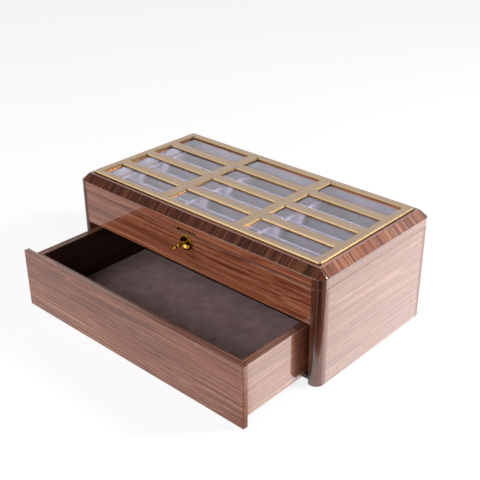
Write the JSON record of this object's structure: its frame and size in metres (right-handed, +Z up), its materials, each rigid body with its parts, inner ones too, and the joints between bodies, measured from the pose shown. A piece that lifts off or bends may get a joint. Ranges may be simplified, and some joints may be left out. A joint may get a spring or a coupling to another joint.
{
  "type": "eyeglasses storage box",
  "caption": "Glossy walnut display box for eyeglasses: hinged lid with brass window frame and glass, suede compartments beneath, wide pull-out drawer, lock with key.",
  "frame": {"origin": "On the table under the middle of the cabinet's footprint.", "axes": "+X to the right seen from the front, +Y to the back, +Z up; the drawer pulls out along -Y."},
  "size_m": [0.56, 0.4465, 0.2083],
  "materials": {
    "base_felt": "thin dark felt",
    "carcass_wood": "plain dark board",
    "walnut_side": "glossy walnut veneer, grain lying along the side",
    "walnut_front": "glossy walnut veneer, grain lying along the front",
    "walnut_post": "glossy walnut, grain standing upright",
    "walnut_lid": "glossy striped walnut veneer, grain running up the bevel",
    "walnut_drawer": "glossy walnut veneer",
    "drawer_wood": "satin walnut board",
    "glide_tape": "slippery tape",
    "suede": "lilac grey suede",
    "drawer_suede": "mauve suede",
    "lock_steel": "pressed steel",
    "brass_plate": "brass sheet",
    "polished_brass": "polished brass",
    "brass_screw": "turned brass",
    "brushed_brass": "fine brushed lines with polished edges",
    "window_glass": "clear flat glass"
  },
  "bodies": {
    "cabinet": {"base_felt": "base_felt", "base_panel": "carcass_wood", "tray_shelf": "carcass_wood", "side_panel_right": "walnut_side", "side_panel_left": "walnut_side", "back_panel": "walnut_front", "upper_front_panel": "walnut_front", "corner_post_front_right": "walnut_post", "corner_post_front_left": "walnut_post", "corner_post_back_right": "walnut_post", "corner_post_back_left": "walnut_post", "drawer_guide_right": "carcass_wood", "drawer_guide_left": "carcass_wood", "drawer_kicker_right": "carcass_wood", "drawer_kicker_left": "carcass_wood", "glide_strips": "glide_tape", "drawer_stops": "carcass_wood", "tray_floor_lining": "suede", "tray_lining_right": "suede", "tray_lining_left": "suede", "tray_lining_front": "suede", "tray_lining_back": "suede", "row_divider_1": "suede", "row_divider_2": "suede", "row_divider_3": "suede", "column_divider_left": "suede", "column_divider_right": "suede", "lock_case": "lock_steel", "lock_selvedge": "brass_plate", "escutcheon_cup": "polished_brass", "hinge_leaf_cabinet_left": "brass_plate", "hinge_leaf_cabinet_right": "brass_plate", "hinge_pins": "brass_plate", "cabinet_screws": "brass_screw"},
    "drawer": {"drawer_front": "walnut_drawer", "drawer_sub_front": "drawer_wood", "drawer_side_right": "drawer_wood", "drawer_side_left": "drawer_wood", "drawer_back": "drawer_wood", "drawer_bottom": "carcass_wood", "drawer_suede": "drawer_suede"},
    "lid": {"lid_rail_front": "walnut_lid", "lid_rail_back": "walnut_lid", "lid_rail_right": "walnut_lid", "lid_rail_left": "walnut_lid", "lid_corner_front_right": "walnut_lid", "lid_corner_front_left": "walnut_lid", "lid_corner_back_right": "walnut_lid", "lid_corner_back_left": "walnut_lid", "glass_ledge": "carcass_wood", "lid_lining": "suede", "window_frame": "brushed_brass", "glass_pane": "window_glass", "hinge_leaf_lid_left": "brass_plate", "hinge_leaf_lid_right": "brass_plate", "lid_screws": "brass_screw", "link_plate": "brass_plate"},
    "lock_barrel": {"lock_barrel": "polished_brass"},
    "lock_bolt": {"lock_bolt": "lock_steel"},
    "key": {"key": "polished_brass"}
  },
  "joints": [
    {"name": "drawer_slide", "type": "slide", "parent": "cabinet", "child": "drawer", "axis": [0, -1, 0], "range_m": [-0.147, 0.045]},
    {"name": "lid_hinge", "type": "hinge", "parent": "cabinet", "child": "lid", "pos_m": [0, 0.1498, 0.1747], "axis": [-1, 0, 0], "range_deg": [0, 95]},
    {"name": "lock_turn", "type": "hinge", "parent": "cabinet", "child": "lock_barrel", "pos_m": [0, -0.1475, 0.1595], "axis": [0, 1, 0], "range_deg": [0, 90]},
    {"name": "bolt_slide", "type": "slide", "parent": "cabinet", "child": "lock_bolt", "axis": [1, 0, 0], "range_m": [0, 0.006]},
    {"name": "key_slide", "type": "slide", "parent": "lock_barrel", "child": "key", "axis": [0, -1, 0], "range_m": [0, 0.04]}
  ],
  "couplings": [
    {"joint": "bolt_slide", "follows": "lock_turn", "m_per_rad": 0.0038}
  ]
}
